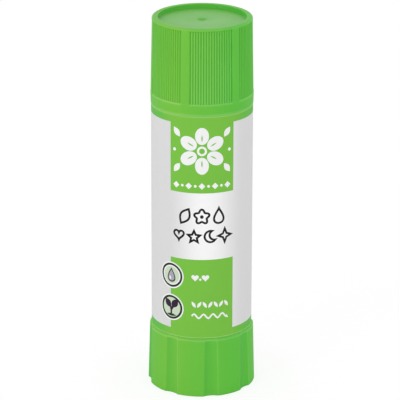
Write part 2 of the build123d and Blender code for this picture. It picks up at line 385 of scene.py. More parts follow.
BELT_R = radius_of("cap")
MOUTH_R, RIM_R = BELT_R - 0.08, BELT_R - 0.38
BELT, GRIP_TOP = CAP_FOOT + 3.2, STICK_TOP - 0.6
LEDGE_FOOT, LEDGE_EDGE = BELT - 0.65, BELT - 0.3
MOUTH_ROUND, RIM_ROUND = 0.14, 0.5
CAP_BORE_R = NECK_R + 0.25
SNAP_R, SNAP_LOW, SNAP_HIGH = CAP_BORE_R + 0.2, CAP_FOOT + 2.7, CAP_FOOT + 4.3
RECESS_R, RECESS_FLOOR, RECESS_EDGE, RECESS_ROUND = 10.95, STICK_TOP - 0.9, 0.13, 0.2
RECESS_FLOOR_R, DISH_SLOPE = RECESS_R - 0.25, 0.004
GATE_R, GATE_DEPTH, GATE_TOP = 1.3, 0.35, RECESS_FLOOR - 0.04
CEILING = RECESS_FLOOR - 1.2
SEAL_IN, SEAL_OUT, SEAL_FOOT = 9.73, 10.58, CEILING - 6.9

PANELS, GROOVES, PITCH, PANEL_TURN = 6, 17, 3, 10.7
PANEL_STEP, PANEL_HALF = 360 / PANELS, PITCH * (GROOVES - 1) / 2
GROOVE_HALF, FLOOR_HALF, GROOVE_DEPTH = 0.18, 0.08, 0.27
LIP_WIDTH, LIP_DEPTH = 0.45, 0.03
# How deep the ribs' crests lie under the lands, at the belt and at the grip's top
CREST_LOW, CREST_HIGH = 0.14, 0.05
# How strong the painted highlight on the crests and the painted shade in the grooves are, at the same two
# levels
CREST_HIGHLIGHT, GROOVE_SHADE = (0.5, 0.35), (0.9, 0.2)
# The share of that painted highlight and shade on the panels away from the front
SIDE_PANEL_LIGHT_SHARE = 0.05


def cap_side(height):
    if height < BELT:
        return lerp(MOUTH_R, BELT_R, (height - CAP_FOOT) / (BELT - CAP_FOOT))
    return lerp(BELT_R, RIM_R, (height - BELT) / (STICK_TOP - BELT))


def up_grip(height):
    """The share of the way from the belt to the grip's top."""
    return (height - BELT) / (GRIP_TOP - BELT)


def crest_depth(height):
    return lerp(CREST_LOW, CREST_HIGH, up_grip(height))


def cap_columns(height):
    """(angle, depth) of each column round the cap's grip at a height: lands, rib crests and groove floors."""
    per_mm = math.degrees(1 / BELT_R)
    depth = crest_depth(height)
    edge = lerp(GROOVE_HALF, FLOOR_HALF, depth / GROOVE_DEPTH) * per_mm
    foot = FLOOR_HALF * per_mm
    lip = GROOVE_HALF * per_mm
    # The outer columns of a groove that meets a land, and of one that meets a rounded crest
    land_side = [(lip + LIP_WIDTH, 0), (lip, LIP_DEPTH)]
    crest_side = [(edge + 0.2, depth + 0.004), (edge, depth + 0.035)]
    columns = []
    for panel in range(PANELS):
        first = PANEL_TURN + panel * PANEL_STEP - PANEL_HALF
        for groove in range(GROOVES):
            at = first + groove * PITCH
            before = land_side if groove == 0 else [(PITCH / 2, depth), *crest_side]
            after = land_side if groove == GROOVES - 1 else crest_side
            columns += [(at - off, sunk) for off, sunk in before]
            columns += [(at - foot, GROOVE_DEPTH), (at + foot, GROOVE_DEPTH)]
            columns += [(at + off, sunk) for off, sunk in reversed(after)]
        land_start = at + lip + LIP_WIDTH
        land = PANEL_STEP - 2 * (PANEL_HALF + lip + LIP_WIDTH)
        columns += [(land_start + land * i / 5, 0) for i in range(1, 5)]
    return columns


def cap_ring(height, radius=None, share=0.0):
    """A ring of the cap, on its outer side by default. Its columns sink by their depth times share."""
    columns = cap_columns(clamp(height, BELT, GRIP_TOP))
    r = cap_side(height) if radius is None else radius
    return [point(r - depth * share, angle, height) for angle, depth in columns]


def cap_rings(outline):
    return [cap_ring(z, r) for r, z in outline]


def cap_light_and_shade(radius, angle, height):
    """The cap gets painted highlights along its mouth, its ledge, its rib crests and the edge of its top.

    The recess's wall, the gate mark and the grooves get painted shade. The crests' highlight and the
    grooves' shade show on the front panel, and hardly on the others.
    """
    if radius < RECESS_R + 0.05 and height > RECESS_FLOOR - 0.2:
        wall = peak(radius, RECESS_R - 0.55, RECESS_R - 0.05, RECESS_R + 0.15)
        return -0.75 * max(wall, peak(radius, -1, 0, GATE_R + 0.2))
    ribbed = abs(off_nearest(angle, PANEL_TURN, PANELS)) < PANEL_HALF + 1
    front = abs(off_nearest(angle, PANEL_TURN, 1)) < PANEL_STEP / 2
    if ribbed and BELT < height < GRIP_TOP - 0.2:
        depth = cap_side(height) - radius
        most = 1 if front else SIDE_PANEL_LIGHT_SHARE
        if depth > 0.2:
            return -lerp(*GROOVE_SHADE, up_grip(height)) * most
        if LIP_DEPTH < depth < crest_depth(height) + 0.006:
            return lerp(*CREST_HIGHLIGHT, up_grip(height)) * most
    rim = 0.35 * peak(height, STICK_TOP - 0.7, STICK_TOP - 0.1, STICK_TOP + 0.2)
    if radius < CAP_BORE_R + 0.05:
        return rim
    mouth = min(1, 2 * peak(height, CAP_FOOT - 0.3, CAP_FOOT + 0.05, CAP_FOOT + 0.5))
    ledge = ((0.8 if front else 1) if ribbed else 0.15) * peak(height, LEDGE_FOOT, LEDGE_EDGE, BELT + 0.05)
    return max(mouth, ledge, rim)


def cap_inside():
    """Rings from the middle of the ceiling, round the seal ring and down the bore to the mouth."""
    outline = [
        (5.0, CEILING), (SEAL_IN - 0.23, CEILING), (SEAL_IN, CEILING - 0.2),
        (SEAL_IN, SEAL_FOOT + 0.3), (SEAL_IN + 0.22, SEAL_FOOT),
        (SEAL_OUT - 0.22, SEAL_FOOT), (SEAL_OUT, SEAL_FOOT + 0.3),
        (SEAL_OUT, CEILING - 0.25), (SEAL_OUT + 0.17, CEILING),
        (CAP_BORE_R - 0.2, CEILING), (CAP_BORE_R, CEILING - 0.2),
        (CAP_BORE_R, SNAP_HIGH), (SNAP_R, SNAP_HIGH - 0.2),
        (SNAP_R, SNAP_LOW + 0.2), (CAP_BORE_R, SNAP_LOW),
        (CAP_BORE_R, CAP_FOOT + 0.2), (SNAP_R, CAP_FOOT),
    ]
    return [[(0, 0, CEILING)]] + cap_rings(outline)


def cap_outside():
    """Rings from the mouth over the ledge and the grip to the top's round edge."""
    rings = cap_rings(arc(MOUTH_R - MOUTH_ROUND, CAP_FOOT + MOUTH_ROUND, MOUTH_ROUND, -90, 0, 4))
    rings += [cap_ring(CAP_FOOT + z) for z in (0.4, 0.65, 1.5)]
    rings += [cap_ring(LEDGE_FOOT), cap_ring(LEDGE_EDGE), cap_ring(BELT - 0.14, share=0.15)]
    rings += [cap_ring(BELT, share=1), cap_ring(BELT + 0.15, share=1)]
    rings += [cap_ring(lerp(BELT, GRIP_TOP, t), share=1) for t in (0.15, 0.3, 0.45, 0.6, 0.75, 0.9, 0.985)]
    rings += [cap_ring(GRIP_TOP - 0.05, share=1), cap_ring(GRIP_TOP + 0.04)]
    shoulder = STICK_TOP - RIM_ROUND
    return rings + cap_rings(arc(cap_side(shoulder) - RIM_ROUND, shoulder, RIM_ROUND, 0, 90, 8))


def cap_recess():
    """Rings from the recess's edge over its dished floor to the gate mark in its middle."""
    outline = arc(RECESS_R + RECESS_EDGE, STICK_TOP - RECESS_EDGE, RECESS_EDGE, 90, 180, 3)
    outline += arc(RECESS_R - RECESS_ROUND, RECESS_FLOOR + RECESS_ROUND, RECESS_ROUND, 0, -90, 4)
    for r in (9.0, 6.0, 3.5, 2.0, 1.5, 1.36):
        outline.append((r, RECESS_FLOOR - DISH_SLOPE * (RECESS_FLOOR_R - r)))
    outline += [(r, GATE_TOP - dome(GATE_R, GATE_DEPTH, r)) for r in (1.27, 1.1, 0.85, 0.6)]
    outline += [(0.42, GATE_TOP - 0.29), (0.33, GATE_TOP - 0.19), (0.2, GATE_TOP - 0.17)]
    return cap_rings(outline) + [[(0, 0, GATE_TOP - 0.18)]]


def make_cap():
    vertices, faces = band(cap_inside() + cap_outside() + cap_recess())
    mesh = moulded_mesh("cap_moulding", vertices, faces, [cap_green, cap_polished], painted_light=cap_light_and_shade)
    polished = mesh.materials.find("cap_polished")
    for face in mesh.polygons:
        x, y, z = (c / MM for c in face.center)
        if z > RECESS_FLOOR - 0.6 and math.hypot(x, y) < RECESS_FLOOR_R:
            face.material_index = polished
    add_piece(mesh, "cap", "cap")


make_cap()

# Turn knob

KNOB_RIM_R = BARREL_R + 0.52
KNOB_FOOT_R = KNOB_RIM_R + 0.42
FOOT_ROUND, RIM_SLOPE, RIM_SINK, RIM_BULGE = 0.2, 0.56, 0.52, 0.09
FLUTES, FLUTE_TURN, FLUTE_R = 8, 10.2, 4.4
FLUTE_FOOT_DEPTH, FLUTE_RIM_DEPTH, FLUTE_BLEND = 0.6, 0.42, 0.06
# Angles of the columns near a flute's edge, below 0 inside it
NEAR_EDGE = (-0.9, -0.65, -0.42, -0.24, -0.06, 0.12, 0.3, 0.5, 0.75)
FOOT_RECESS, FOOT_RING_R, FOOT_RING_ROUND = 1.0, KNOB_FOOT_R - 2.36, 0.25
DIMPLE_R, DIMPLE_RISE = 1.2, 0.4
KNOB_BORE_R, KNOB_FLOOR = SKIRT_R + 0.2, 2.3
HUB_R, HUB_TOP = 5.2, PLATE_LOW - 0.15
SOCKET_R, SOCKET_FLOOR, SOCKET_SIDES = 3.43, 4.5, 6
GUSSETS, GUSSET_HALF, GUSSET_FOOT_R, GUSSET_TOP_R, GUSSET_TOP = 4, 0.5, 10.2, 9.4, KNOB_FLOOR + 5


def knob_land(height):
    return lerp(KNOB_FOOT_R, KNOB_RIM_R, height / KNOB_TOP)


def flute_centre(height):
    return lerp(KNOB_FOOT_R - FLUTE_FOOT_DEPTH, KNOB_RIM_R - FLUTE_RIM_DEPTH, height / KNOB_TOP) + FLUTE_R


def flute_half(height):
    """Half the angle that a flute takes at a height."""
    land, centre = knob_land(height), flute_centre(height)
    return math.degrees(math.acos((land**2 + centre**2 - FLUTE_R**2) / (2 * land * centre)))


def soft_min(a, b, blend):
    h = max(blend - abs(a - b), 0) / blend
    return min(a, b) - h * h * blend / 4


def knob_columns(height):
    """Angles of the columns round the knob, which follow the flutes' edges."""
    half = flute_half(height)
    hollow = half + NEAR_EDGE[0]
    land = 360 / FLUTES - 2 * half
    columns = []
    for flute in range(FLUTES):
        at = FLUTE_TURN + flute * 360 / FLUTES
        columns += [at - half - off for off in reversed(NEAR_EDGE)]
        columns += [at + lerp(-hollow, hollow, i / 14) for i in range(1, 14)]
        columns += [at + half + off for off in NEAR_EDGE]
        columns += [at + half + lerp(NEAR_EDGE[-1], land - NEAR_EDGE[-1], i / 9) for i in range(1, 9)]
    return columns


def flute_at(angle, height):
    """The radius of the nearest flute's hollow at an angle, or none."""
    off = math.radians(off_nearest(angle, FLUTE_TURN, FLUTES))
    centre = flute_centre(height)
    across = centre * math.sin(off)
    if abs(across) >= FLUTE_R:
        return None
    return centre * math.cos(off) - math.sqrt(FLUTE_R**2 - across**2)


def knob_ring(height, sink=0.0, follow=1.0):
    """A fluted ring of the knob. It sinks at the foot and the rim, and its flutes by follow times as much."""
    h = clamp(height, 0, KNOB_TOP)
    ring = []
    for angle in knob_columns(h):
        r = knob_land(h) - sink
        flute = flute_at(angle, h)
        if flute is not None:
            r = soft_min(r, flute - sink * follow, FLUTE_BLEND)
        ring.append(point(r, angle, height))
    return ring


def plain_rings(outline, near):
    """Round rings through an outline's points, with the columns that the knob has at a height."""
    return [[point(r, angle, z) for angle in knob_columns(near)] for r, z in outline]


def socket_ring(height, scale=1.0):
    """A ring of the hexagonal socket that holds the spindle's key."""
    flat = SOCKET_R * math.cos(math.pi / SOCKET_SIDES)
    ring = []
    for angle in knob_columns(KNOB_TOP):
        off = math.radians(off_nearest(angle, 0, SOCKET_SIDES))
        ring.append(point(flat / math.cos(off) * scale, angle, height))
    return ring


def knob_light_and_shade(radius, angle, height):
    """The knob gets painted highlights along its rim and its flutes' edges, stronger on the edge at the
    larger angle, and painted shade in its flutes, deepest near their other edge, as from a light at the left.
    """
    if radius < KNOB_BORE_R + 0.1:
        return 0
    off = off_nearest(angle, FLUTE_TURN, FLUTES)
    half = flute_half(clamp(height, 0, KNOB_TOP))
    edge = (0.7 if off > 0 else 0.15) * peak(abs(off) - half, -0.6, 0, 0.8)
    slope = 0.9 * peak(height, KNOB_TOP - 0.78, KNOB_TOP - RIM_SLOPE, KNOB_TOP - 0.32)
    light_paint = max(edge, slope, peak(height, KNOB_TOP - 0.2, KNOB_TOP, KNOB_TOP + 1))
    if light_paint > 0 or height > KNOB_TOP - 0.6:
        return light_paint
    return -lerp(0.62, 0.05, (off + half) / (2 * half)) * clamp((half - 0.3 - abs(off)) / 1.2, 0, 1)


def knob_foot():
    """Rings of the foot's recess with its gate dimple, and of the ring that the stick stands on."""
    outline = [(r, FOOT_RECESS + dome(DIMPLE_R, DIMPLE_RISE, r)) for r in (0.4, 0.8, 1.1, DIMPLE_R)]
    outline += [(r, FOOT_RECESS) for r in (2.0, 5.0, 8.0, 10.6)]
    outline += arc(FOOT_RING_R - FOOT_RING_ROUND, FOOT_RECESS - FOOT_RING_ROUND, FOOT_RING_ROUND, 90, 0, 3)
    outline += [(FOOT_RING_R, 0.2), (FOOT_RING_R + 0.2, 0), (FOOT_RING_R + 0.7, 0)]
    return [[(0, 0, FOOT_RECESS + DIMPLE_RISE)]] + plain_rings(outline, 0)


def knob_side():
    """Fluted rings from the foot's round edge to the rim's slope, which bulges a little."""
    rings = [knob_ring(z, -r) for r, z in arc(-FOOT_ROUND, FOOT_ROUND, FOOT_ROUND, -90, 0, 6)]
    rings += [knob_ring(z) for z in (1.2, 3, 6, 9, 12, 14)]
    rings += [knob_ring(KNOB_TOP - drop) for drop in (0.9, 0.62, RIM_SLOPE)]
    for i in range(1, 9):
        t = i / 8
        bulge = RIM_BULGE * math.sin(math.pi * t)
        height = KNOB_TOP - RIM_SLOPE * (1 - t) + 0.6 * bulge
        rings.append(knob_ring(height, RIM_SINK * t - 0.8 * bulge, follow=0.6))
    return rings


def knob_inside():
    """Rings from the rim down the bore, over the floor and up the hub to the key's socket."""
    outline = [
        (KNOB_BORE_R + 0.15, KNOB_TOP), (KNOB_BORE_R, KNOB_TOP - 0.15),
        (KNOB_BORE_R, KNOB_FLOOR + 0.3), (KNOB_BORE_R - 0.3, KNOB_FLOOR),
        (HUB_R + 0.3, KNOB_FLOOR), (HUB_R, KNOB_FLOOR + 0.3),
        (HUB_R, HUB_TOP - 0.2), (HUB_R - 0.2, HUB_TOP),
    ]
    rings = plain_rings(outline, KNOB_TOP)
    rings += [socket_ring(HUB_TOP, 1.04), socket_ring(HUB_TOP - 0.15), socket_ring(SOCKET_FLOOR)]
    return rings + [[(0, 0, SOCKET_FLOOR)]]


def gusset_corners(turn):
    """The eight corners of a gusset, which runs from inside the hub and stands in the floor."""
    inner, corners = HUB_R - 0.3, []
    for outer, height in ((GUSSET_FOOT_R, KNOB_FLOOR - 0.2), (GUSSET_TOP_R, GUSSET_TOP)):
        sides = [(inner, -GUSSET_HALF), (outer, -GUSSET_HALF), (outer, GUSSET_HALF), (inner, GUSSET_HALF)]
        corners += [(x, y, height) for x, y in placed(sides, 0, 0, turn)]
    return corners


def make_knob():
    vertices, faces = band(knob_foot() + knob_side() + knob_inside())
    for i in range(GUSSETS):
        start = len(vertices)
        vertices += gusset_corners(i * 360 / GUSSETS)
        for corners in [(0, 3, 2, 1), (4, 5, 6, 7), (0, 1, 5, 4), (1, 2, 6, 5), (2, 3, 7, 6), (3, 0, 4, 7)]:
            faces.append(tuple(start + k for k in corners))
    mesh = moulded_mesh("knob_moulding", vertices, faces, [knob_green], painted_light=knob_light_and_shade)
    add_piece(mesh, "drive", "turn_knob")


make_knob()

# Barrel

GUIDES, GUIDE_RISE, GUIDE_TOP = 4, 0.4, BARREL_MOUTH - 3.5
BEAD = 77.5
# Half of the snap bead's outline: the height from its middle, and the rise over the neck
BEAD_HALF = ((0.65, 0), (0.57, 0.05), (0.38, 0.16), (0.15, 0.2))


def guide_columns(near, between):
    """Angles of columns round the stick: some near each guide rib, and even ones between the ribs."""
    angles = []
    for guide in range(GUIDES):
        at = guide * 360 / GUIDES
        gap = 360 / GUIDES - 2 * near[-1]
        angles += [at + off for off in near]
        angles += [at + near[-1] + gap * i / between for i in range(1, between)]
    return angles


BARREL_COLUMNS = guide_columns((-3.2, -2.75, -2.2, -1, 1, 2.2, 2.75, 3.2), 26)


def barrel_ring(radius, height, rise=0.0):
    """A ring of the barrel, on which the guide ribs rise inwards."""
    ring = []
    for angle in BARREL_COLUMNS:
        off = abs(off_nearest(angle, 0, GUIDES))
        inwards = rise if off < 2.5 else rise / 2 if off < 3 else 0
        ring.append(point(radius - inwards, angle, height))
    return ring


def barrel_rings(outline):
    return [barrel_ring(r, z) for r, z in outline]


def barrel_highlights(radius, angle, height):
    """The barrel gets painted highlights at its foot's edge, its shoulder, its snap bead and its mouth."""
    if radius < BORE_R + 0.3:
        return 0
    foot = peak(height, BARREL_FOOT - 0.1, BARREL_FOOT + 0.04, BARREL_FOOT + 0.6)
    shoulder = 0.6 * peak(height, CAP_SEAT - 0.3, CAP_SEAT, CAP_SEAT + 0.1)
    bead = 0.5 * peak(height, BEAD - 0.6, BEAD, BEAD + 0.6)
    mouth = 0.5 * peak(height, BARREL_MOUTH - 0.5, BARREL_MOUTH - 0.1, BARREL_MOUTH + 0.1)
    return max(foot, shoulder, bead, mouth)


def barrel_outside():
    """Rings from the skirt's foot over the side, the shoulder and the neck's snap bead to the mouth."""
    outline = [
        (SKIRT_R - 0.3, SKIRT_FOOT), (SKIRT_R - 0.09, SKIRT_FOOT + 0.09), (SKIRT_R, SKIRT_FOOT + 0.3),
        (SKIRT_R, BARREL_FOOT), (BARREL_R - 0.04, BARREL_FOOT), (BARREL_R, BARREL_FOOT + 0.04),
        (BARREL_R, BARREL_FOOT + 0.6), (BARREL_R, 30), (BARREL_R, 45), (BARREL_R, 60),
        (BARREL_R, CAP_SEAT - 0.06), (BARREL_R - 0.02, CAP_SEAT - 0.02), (BARREL_R - 0.06, CAP_SEAT),
        (NECK_R + 0.2, CAP_SEAT), (NECK_R + 0.06, CAP_SEAT + 0.06), (NECK_R, CAP_SEAT + 0.2),
    ]
    outline += [(NECK_R + rise, BEAD - off) for off, rise in BEAD_HALF]
    outline += [(NECK_R + rise, BEAD + off) for off, rise in reversed(BEAD_HALF)]
    outline += [(NECK_R, 82), (NECK_R, BARREL_MOUTH - 0.3)]
    return barrel_rings(outline + arc(NECK_R - 0.3, BARREL_MOUTH - 0.3, 0.3, 15, 90, 5))


def barrel_inside():
    """Rings from the mouth down the bore's guide ribs and through the bottom plate to the skirt's foot."""
    lip = [
        (BORE_R + 0.15, BARREL_MOUTH), (BORE_R + 0.04, BARREL_MOUTH - 0.04),
        (BORE_R, BARREL_MOUTH - 0.15), (BORE_R, GUIDE_TOP + 0.5),
    ]
    guides = [barrel_ring(BORE_R, z, GUIDE_RISE) for z in (GUIDE_TOP, 60, 35, PLATE_HIGH + 0.01)]
    plate = [
        (BORE_R - 0.5, PLATE_HIGH), (PLATE_HOLE_R, PLATE_HIGH), (PLATE_HOLE_R, PLATE_LOW),
        (BORE_R, PLATE_LOW), (BORE_R, SKIRT_FOOT + 0.2), (BORE_R + 0.2, SKIRT_FOOT),
    ]
    return barrel_rings(lip) + guides + barrel_rings(plate)


def make_barrel():
    vertices, faces = band(barrel_outside() + barrel_inside(), closed=True)
    mesh = moulded_mesh("barrel_tube", vertices, faces, [barrel_green], painted_light=barrel_highlights)
    add_piece(mesh, "barrel", "barrel")


make_barrel()

# Glue, and the white parts of the drive

GLUE_R, GLUE_ROUND = BORE_R - 0.3, 0.8
GLUE_FOOT, GLUE_TOP = foot_of("glue_stick") + 0.05, top_of("glue_stick") + 0.05
CUP_R, CUP_TOP = GLUE_R - 0.97, top_of("glue_carrier") + 0.05
NUT_R, NUT_TOP = 4.2, CUP_TOP - 4
CORE_R, CORE_TOP = 3.25, top_of("spindle") + 1.1
SLOT_DEPTH, SLOT_HALF, SLOT_SLOPE = 0.42, 5.1, 0.9
UNEVEN = 0.14
GLUE_COLUMNS = guide_columns((-5.4, -4.9, -4.4, -3.9, -2, 0, 2, 3.9, 4.4, 4.9, 5.4), 18)


def glue_ring(radius, height, slots=0.0, uneven=0.0):
    """A ring of the glue, with slots for the guide ribs and a casting that dips unevenly."""
    ring = []
    for angle in GLUE_COLUMNS:
        off = abs(off_nearest(angle, 0, GUIDES))
        sink = clamp((SLOT_HALF - off) / SLOT_SLOPE, 0, 1) * SLOT_DEPTH * slots
        t = math.radians(angle)
        wave = math.sin(t + 0.6) + 0.5 * math.sin(2 * t + 2.1) + 0.35 * math.sin(5 * t + radius)
        ring.append(point(radius - sink, angle, height - uneven * (0.5 + 0.27 * wave)))
    return ring


def glue_core():
    """Rings from the core's top down to the nut, round the foot in the cup and out to the side."""
    outline = [
        (1.5, CORE_TOP), (CORE_R, CORE_TOP - 0.3), (CORE_R, NUT_TOP), (NUT_R, NUT_TOP),
        (NUT_R, GLUE_FOOT), (CUP_R - 0.13, GLUE_FOOT), (CUP_R, GLUE_FOOT + 0.2),
        (CUP_R, CUP_TOP), (GLUE_R - 0.1, CUP_TOP),
    ]
    return [[(0, 0, CORE_TOP)]] + [glue_ring(r, z) for r, z in outline]


def glue_outside():
    """Rings up the side, over the round edge and in to the middle of the cast top."""
    rings = [glue_ring(GLUE_R, z, 1) for z in (CUP_TOP + 0.15, 40, 55, 70, 80)]
    round_r, steps = GLUE_R - GLUE_ROUND, 7
    for i, (r, z) in enumerate(arc(round_r, GLUE_TOP - GLUE_ROUND, GLUE_ROUND, 0, 90, steps)):
        rings.append(glue_ring(r, z, 1 - 0.3 * i / steps, UNEVEN * i / steps))
    for r, drop in ((9.0, 0.02), (7.8, 0.07), (6.2, 0.12), (4.4, 0.17), (2.6, 0.2), (1.2, 0.2)):
        rings.append(glue_ring(r, GLUE_TOP - drop, max(0, r - round_r + 1), UNEVEN * r / round_r))
    return rings + [[(0, 0, GLUE_TOP - 0.21)]]


def make_glue():
    vertices, faces = band(glue_core() + glue_outside())
    mesh = moulded_mesh("glue_cast", vertices, faces, [glue_white], crease=45)
    add_piece(mesh, "glue", "glue_stick")


make_glue()


def paint_drive():
    """The spindle and the carrier keep their CAD meshes, in white plastic."""
    for node in ("spindle", "glue_carrier"):
        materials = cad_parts[node].data.materials
        materials.clear()
        materials.append(inner_white)


paint_drive()

# Shapes of the label's print

FILM_R, LAP_R = BARREL_R + 0.08, BARREL_R + 0.16
LAP_HALF, LAP_STEP = 2.0, 0.8
HALF_TURN = math.pi * FILM_R
FILM, LEAF, WHITE, BLACK, DARK, PLUM, GREY, PALE, HIGHLIGHT_INK, EDGE = range(len(label_inks))
prints = []


def lay(points, ink_number):
    """Prints a closed outline of (u, z) in millimetres. u runs round the barrel from the front."""
    us, zs = zip(*points)
    prints.append((points, (min(us), max(us), min(zs), max(zs)), ink_number))


def box(u0, z0, u1, z1, ink_number):
    lay([(u0, z0), (u1, z0), (u1, z1), (u0, z1)], ink_number)


def oval(a, b, steps=28):
    turns = [2 * math.pi * i / steps for i in range(steps)]
    return [(a * math.cos(t), b * math.sin(t)) for t in turns]


def blossom(radius, wave, petals, steps):
    points = []
    for i in range(steps):
        t = math.pi / 2 + 2 * math.pi * i / steps
        r = radius + wave * math.cos(petals * t)
        points.append((r * math.cos(t), r * math.sin(t)))
    return points


def star(outer, inner, tips):
    points = []
    for i in range(2 * tips):
        t = math.radians(90 + 180 * i / tips)
        r = outer if i % 2 == 0 else inner
        points.append((r * math.cos(t), r * math.sin(t)))
    return points


def heart(width, steps=36):
    points = []
    for i in range(steps):
        t = 2 * math.pi * i / steps
        y = 13 * math.cos(t) - 5 * math.cos(2 * t) - 2 * math.cos(3 * t) - math.cos(4 * t) + 2.5
        points.append((-(math.sin(t) ** 3) * width / 2, y * width / 32))
    return points


def leaf(length, width, steps=12):
    points = [(-length / 2, 0)]
    for side in (-1, 1):
        for i in range(1, steps):
            share = i / steps if side < 0 else 1 - i / steps
            points.append((length * (share - 0.5), side * width / 2 * math.sin(math.pi * share)))
        if side < 0:
            points.append((length / 2, 0))
    return points


def drop(width, height, steps=32):
    points = []
    for i in range(steps):
        t = 2 * math.pi * i / steps
        points.append((-width * 0.65 * math.sin(t) * math.sin(t / 2) ** 1.4, height / 2 * math.cos(t)))
    return points


def crescent(radius, steps=14):
    outer = arc(0, 0, radius, 55, 305, steps)
    tip_u, tip_z = outer[0]
    offset = 0.12 * radius
    inner = arc(tip_u + offset, 0, math.hypot(offset, tip_z), -98, -262, steps)
    return outer + inner[1:-1]


def ribbon(points, width, ink_number, closed=False):
    """A printed line of even width along points, with mitred corners."""
    sides = []
    for i, p in enumerate(points):
        before = points[i - 1] if i or closed else p
        after = points[(i + 1) % len(points)] if i + 1 < len(points) or closed else p
        d0, d1 = Vector(p) - Vector(before), Vector(after) - Vector(p)
        d0, d1 = (d0 or d1).normalized(), (d1 or d0).normalized()
        across = Vector((-d0.y - d1.y, d0.x + d1.x)).normalized()
        reach = width / 2 / max(0.38, across.dot(Vector((-d1.y, d1.x))))
        sides.append((Vector(p) + across * reach, Vector(p) - across * reach))
    pairs = list(zip(sides, sides[1:] + sides[:1]))
    for (a, b), (c, d) in pairs if closed else pairs[:-1]:
        lay([tuple(a), tuple(c), tuple(d), tuple(b)], ink_number)


def ring_mark(u, z, radius, width, ink_number, ground):
    lay(placed(oval(radius, radius, 48), u, z), ink_number)
    lay(placed(oval(radius - width, radius - width, 48), u, z), ground)


# Layout of the label's print

LOWER_BAND, LOWER_BLOCK, UPPER_BLOCK, UPPER_BAND = 17.65, 36.65, 54.15, 71.95
BLOCK_HALF = FILM_R * math.radians(37.5)
FLOWER, DIAMONDS, UPPER_ROW, LOWER_ROW = 65.1, 56.0, 48.0, 42.8
HEARTS, LEAVES, WAVE = 31.7, 24.65, 21.55
BADGE_U, DROP_BADGE, SPROUT_BADGE = -8.1, 31.75, 23.15
PICTURE_U, PICTURES = -FILM_R * math.radians(128), (59.5, 46.5, 33.5)
STITCHES, FIRST_STITCH, STITCH_PITCH, STITCH_LENGTH = 20, 26.0, 2.05, 1.2
OUTLINE_WIDTH, THIN_WIDTH = 0.54, 0.42


def print_grounds():
    """Green bands round the film's ends, paler at the cut as a painted highlight, and two green blocks on its
    front.
    """
    end, light_paint = HALF_TURN + 1, 0.25
    box(-end, UPPER_BAND, end, FILM_HIGH + 1, LEAF)
    box(-end, FILM_LOW - 1, end, LOWER_BAND, LEAF)
    box(-BLOCK_HALF, UPPER_BLOCK, BLOCK_HALF, UPPER_BAND + 0.05, LEAF)
    box(-BLOCK_HALF, LOWER_BAND - 0.05, BLOCK_HALF, LOWER_BLOCK, LEAF)
    # Paler strips at both cut edges are a painted highlight.
    box(-end, FILM_HIGH - light_paint, end, FILM_HIGH + 1, HIGHLIGHT_INK)
    box(-end, FILM_LOW - 1, end, FILM_LOW + light_paint, HIGHLIGHT_INK)


def print_flower(z, petals=6):
    """A flower between four leaves and two dots."""
    for i in range(petals):
        turn = 90 + 360 / petals * i
        lay(placed(placed(oval(2.2, 1.72), 3.85, 0), 0, z, turn), WHITE)
        lay(placed(placed(leaf(1.9, 0.34, 6), 3.3, 0), 0, z, turn), LEAF)
    ring_mark(0, z, 1.25, 0.55, WHITE, LEAF)
    for side in (-1, 1):
        for up in (-1, 1):
            lay(placed(leaf(2.9, 1.5), 6.45 * side, z + 4.6 * up, 90 - 35 * side * up), WHITE)
        lay(placed(oval(0.42, 0.42, 16), 7.1 * side, z), WHITE)


def print_diamonds(z, count=9, pitch=1.65):
    """A row of diamonds and dots."""
    for i in range(count):
        shape = star(0.85, 0.85, 2) if i % 2 == 0 else oval(0.36, 0.36, 16)
        lay(placed(shape, pitch * (i - (count - 1) / 2), z), WHITE)


def print_outlined_shapes():
    """Two rows of small shapes in black outline."""
    shapes = (
        (leaf(4.3, 2.4), -4.3, UPPER_ROW, 62),
        (blossom(1.62, 0.33, 5, 50), 0.0, UPPER_ROW, 18),
        (drop(2.7, 3.9), 4.3, UPPER_ROW + 0.15, 0),
        (heart(2.7), -5.9, LOWER_ROW, 0),
        (star(1.62, 0.76, 5), -1.95, LOWER_ROW - 0.15, 0),
        (crescent(1.5), 2.2, LOWER_ROW, 20),
        (star(1.75, 0.7, 4), 5.9, LOWER_ROW, 0),
    )
    for shape, u, z, turn in shapes:
        ribbon(placed(shape, u, z, turn), OUTLINE_WIDTH, BLACK, closed=True)
    lay(placed(oval(0.46, 0.46, 16), 0, UPPER_ROW), BLACK)


def print_small_motifs():
    """Two hearts with a dot between them, a row of leaves and a wave, in white on the lower block."""
    for u in (-1.65, 0.95):
        lay(placed(heart(1.9), u, HEARTS), WHITE)
    lay(placed(oval(0.3, 0.3, 14), -0.35, HEARTS - 0.3), WHITE)
    for i in range(7):
        lay(placed(leaf(1.95, 0.78, 8), -2.0 + 1.4 * i, LEAVES, 58 if i % 2 else -58), WHITE)
    wave = [(-2.5 + 0.3 * i, WAVE + 0.55 * math.sin(math.radians(45 * i))) for i in range(32)]
    ribbon(wave, THIN_WIDTH, WHITE)


def print_drop(u, z):
    """A dark drop with a grey middle and a gleam, on a pale round."""
    lay(placed(oval(2.3, 2.3, 40), u, z), PALE)
    lay(placed(drop(2.6, 3.9), u, z + 0.1), DARK)
    lay(placed(drop(1.95, 3.0), u, z), GREY)
    lay(placed(oval(0.24, 0.5, 14), u - 0.35, z - 0.75, 15), WHITE)


def print_sprout(u, z):
    """Two leaves on a stem over the ground."""
    lay(placed(leaf(2.9, 1.75), u - 1, z + 0.95, 128), PLUM)
    lay(placed(leaf(3.1, 1.85), u + 1, z + 1.1, 55), PLUM)
    ribbon(placed([(-0.05, -2.25), (-0.05, -0.85), (0.05, 0.15)], u, z), 0.5, PLUM)
    lay(placed(leaf(3.0, 0.7), u, z - 2.05), DARK)


